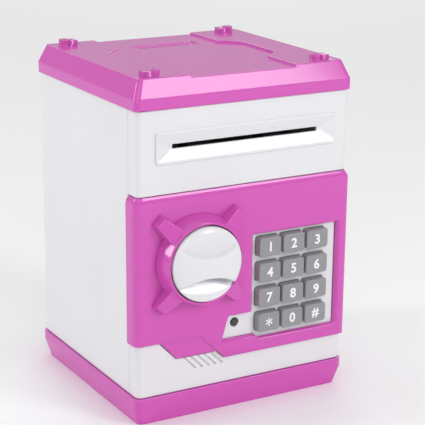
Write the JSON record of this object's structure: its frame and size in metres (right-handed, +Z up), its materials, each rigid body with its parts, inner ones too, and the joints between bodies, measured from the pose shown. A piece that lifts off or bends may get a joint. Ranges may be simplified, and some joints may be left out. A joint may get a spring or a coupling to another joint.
{
  "type": "toy safe coin bank",
  "caption": "Toy safe money box with a hinged front door, turning lock knob, keypad, banknote slot with feed rollers and a coin slot in its lid.",
  "frame": {"origin": "on the floor, under the middle of the casing", "axes": "+Z up; the door and keypad face -Y; +X is to the right of someone who faces the door, on the door's hinge side"},
  "size_m": [0.1276, 0.1339, 0.1827],
  "materials": {
    "pink_casing": "glossy moulded pink",
    "white_casing": "glossy moulded white",
    "grey_keys": "satin grey with white printed legends",
    "grey_plastic": "plain inner mouldings",
    "black_plastic": "glossy black",
    "dark_rubber": "matt rubber",
    "circuit_board": "lacquered board",
    "steel": "bright plated steel",
    "cell_jacket": "printed metal jacket"
  },
  "bodies": {
    "casing": {"body_shell": "white_casing", "front_panel": "white_casing", "lid": "pink_casing", "base_tray": "pink_casing", "battery_cover": "pink_casing", "battery_screw": "steel", "battery_cell_1": "cell_jacket", "battery_cell_2": "cell_jacket", "battery_cell_3": "cell_jacket", "battery_contact_left": "steel", "battery_contact_right": "steel", "speaker": "black_plastic", "main_board": "circuit_board", "base_screw_left_front": "steel", "base_screw_left_rear": "steel", "base_screw_right_front": "steel", "base_screw_right_rear": "steel", "lid_screw_left_front": "steel", "lid_screw_left_rear": "steel", "lid_screw_right_front": "steel", "lid_screw_right_rear": "steel", "hinge_pin_lower": "steel", "hinge_pin_upper": "steel", "feed_frame": "grey_plastic", "feed_motor": "steel"},
    "door": {"door_shell": "pink_casing", "door_cover": "grey_plastic", "door_cover_screw_1": "steel", "door_cover_screw_2": "steel", "door_cover_screw_3": "steel", "knob_collar": "pink_casing", "keypad_bezel": "white_casing", "keypad_mat": "dark_rubber", "keypad_board": "circuit_board", "led": "black_plastic", "solenoid_body": "steel"},
    "knob": {"knob": "white_casing", "pinion_shaft": "grey_plastic"},
    "bolt": {"lock_bolt": "grey_plastic"},
    "plunger": {"solenoid_plunger": "steel"},
    "feed": {"feed_shaft": "steel", "feed_gear": "grey_plastic", "feed_roller_left": "dark_rubber", "feed_roller_right": "dark_rubber"},
    "motor_pinion": {"motor_pinion": "grey_plastic"},
    "pinch": {"pinch_shaft": "steel", "pinch_roller_left": "dark_rubber", "pinch_roller_right": "dark_rubber"},
    "key_1": {"key_1": "grey_keys"},
    "key_2": {"key_2": "grey_keys"},
    "key_3": {"key_3": "grey_keys"},
    "key_4": {"key_4": "grey_keys"},
    "key_5": {"key_5": "grey_keys"},
    "key_6": {"key_6": "grey_keys"},
    "key_7": {"key_7": "grey_keys"},
    "key_8": {"key_8": "grey_keys"},
    "key_9": {"key_9": "grey_keys"},
    "key_star": {"key_star": "grey_keys"},
    "key_0": {"key_0": "grey_keys"},
    "key_hash": {"key_hash": "grey_keys"}
  },
  "joints": [
    {"name": "door_hinge", "type": "hinge", "parent": "casing", "child": "door", "pos_m": [0.06, -0.0534, 0.0754], "axis": [0, 0, 1], "range_deg": [0, 100]},
    {"name": "knob_turn", "type": "hinge", "parent": "door", "child": "knob", "pos_m": [-0.0285, -0.06, 0.086], "axis": [0, -1, 0], "range_deg": [0, 90]},
    {"name": "bolt_slide", "type": "slide", "parent": "door", "child": "bolt", "axis": [-1, 0, 0], "range_m": [0, 0.00786]},
    {"name": "plunger_slide", "type": "slide", "parent": "door", "child": "plunger", "axis": [0, 0, -1], "range_m": [0, 0.003], "stiffness_N_per_m": 60, "springref_m": -0.001},
    {"name": "feed_turn", "type": "hinge", "parent": "casing", "child": "feed", "pos_m": [0, -0.0418, 0.1387], "axis": [1, 0, 0], "continuous": true},
    {"name": "motor_turn", "type": "hinge", "parent": "casing", "child": "motor_pinion", "pos_m": [0, -0.03049, 0.12739], "axis": [1, 0, 0], "continuous": true},
    {"name": "pinch_turn", "type": "hinge", "parent": "casing", "child": "pinch", "pos_m": [0, -0.0418, 0.1493], "axis": [1, 0, 0], "continuous": true},
    {"name": "key_1_press", "type": "slide", "parent": "door", "child": "key_1", "axis": [0, 1, 0], "range_m": [0, 0.0012], "stiffness_N_per_m": 300, "springref_m": -0.0005},
    {"name": "key_2_press", "type": "slide", "parent": "door", "child": "key_2", "axis": [0, 1, 0], "range_m": [0, 0.0012], "stiffness_N_per_m": 300, "springref_m": -0.0005},
    {"name": "key_3_press", "type": "slide", "parent": "door", "child": "key_3", "axis": [0, 1, 0], "range_m": [0, 0.0012], "stiffness_N_per_m": 300, "springref_m": -0.0005},
    {"name": "key_4_press", "type": "slide", "parent": "door", "child": "key_4", "axis": [0, 1, 0], "range_m": [0, 0.0012], "stiffness_N_per_m": 300, "springref_m": -0.0005},
    {"name": "key_5_press", "type": "slide", "parent": "door", "child": "key_5", "axis": [0, 1, 0], "range_m": [0, 0.0012], "stiffness_N_per_m": 300, "springref_m": -0.0005},
    {"name": "key_6_press", "type": "slide", "parent": "door", "child": "key_6", "axis": [0, 1, 0], "range_m": [0, 0.0012], "stiffness_N_per_m": 300, "springref_m": -0.0005},
    {"name": "key_7_press", "type": "slide", "parent": "door", "child": "key_7", "axis": [0, 1, 0], "range_m": [0, 0.0012], "stiffness_N_per_m": 300, "springref_m": -0.0005},
    {"name": "key_8_press", "type": "slide", "parent": "door", "child": "key_8", "axis": [0, 1, 0], "range_m": [0, 0.0012], "stiffness_N_per_m": 300, "springref_m": -0.0005},
    {"name": "key_9_press", "type": "slide", "parent": "door", "child": "key_9", "axis": [0, 1, 0], "range_m": [0, 0.0012], "stiffness_N_per_m": 300, "springref_m": -0.0005},
    {"name": "key_star_press", "type": "slide", "parent": "door", "child": "key_star", "axis": [0, 1, 0], "range_m": [0, 0.0012], "stiffness_N_per_m": 300, "springref_m": -0.0005},
    {"name": "key_0_press", "type": "slide", "parent": "door", "child": "key_0", "axis": [0, 1, 0], "range_m": [0, 0.0012], "stiffness_N_per_m": 300, "springref_m": -0.0005},
    {"name": "key_hash_press", "type": "slide", "parent": "door", "child": "key_hash", "axis": [0, 1, 0], "range_m": [0, 0.0012], "stiffness_N_per_m": 300, "springref_m": -0.0005}
  ],
  "couplings": [
    {"joint": "bolt_slide", "follows": "knob_turn", "m_per_rad": 0.005},
    {"joint": "motor_turn", "follows": "feed_turn", "ratio": -3},
    {"joint": "pinch_turn", "follows": "feed_turn", "ratio": -1.5}
  ]
}
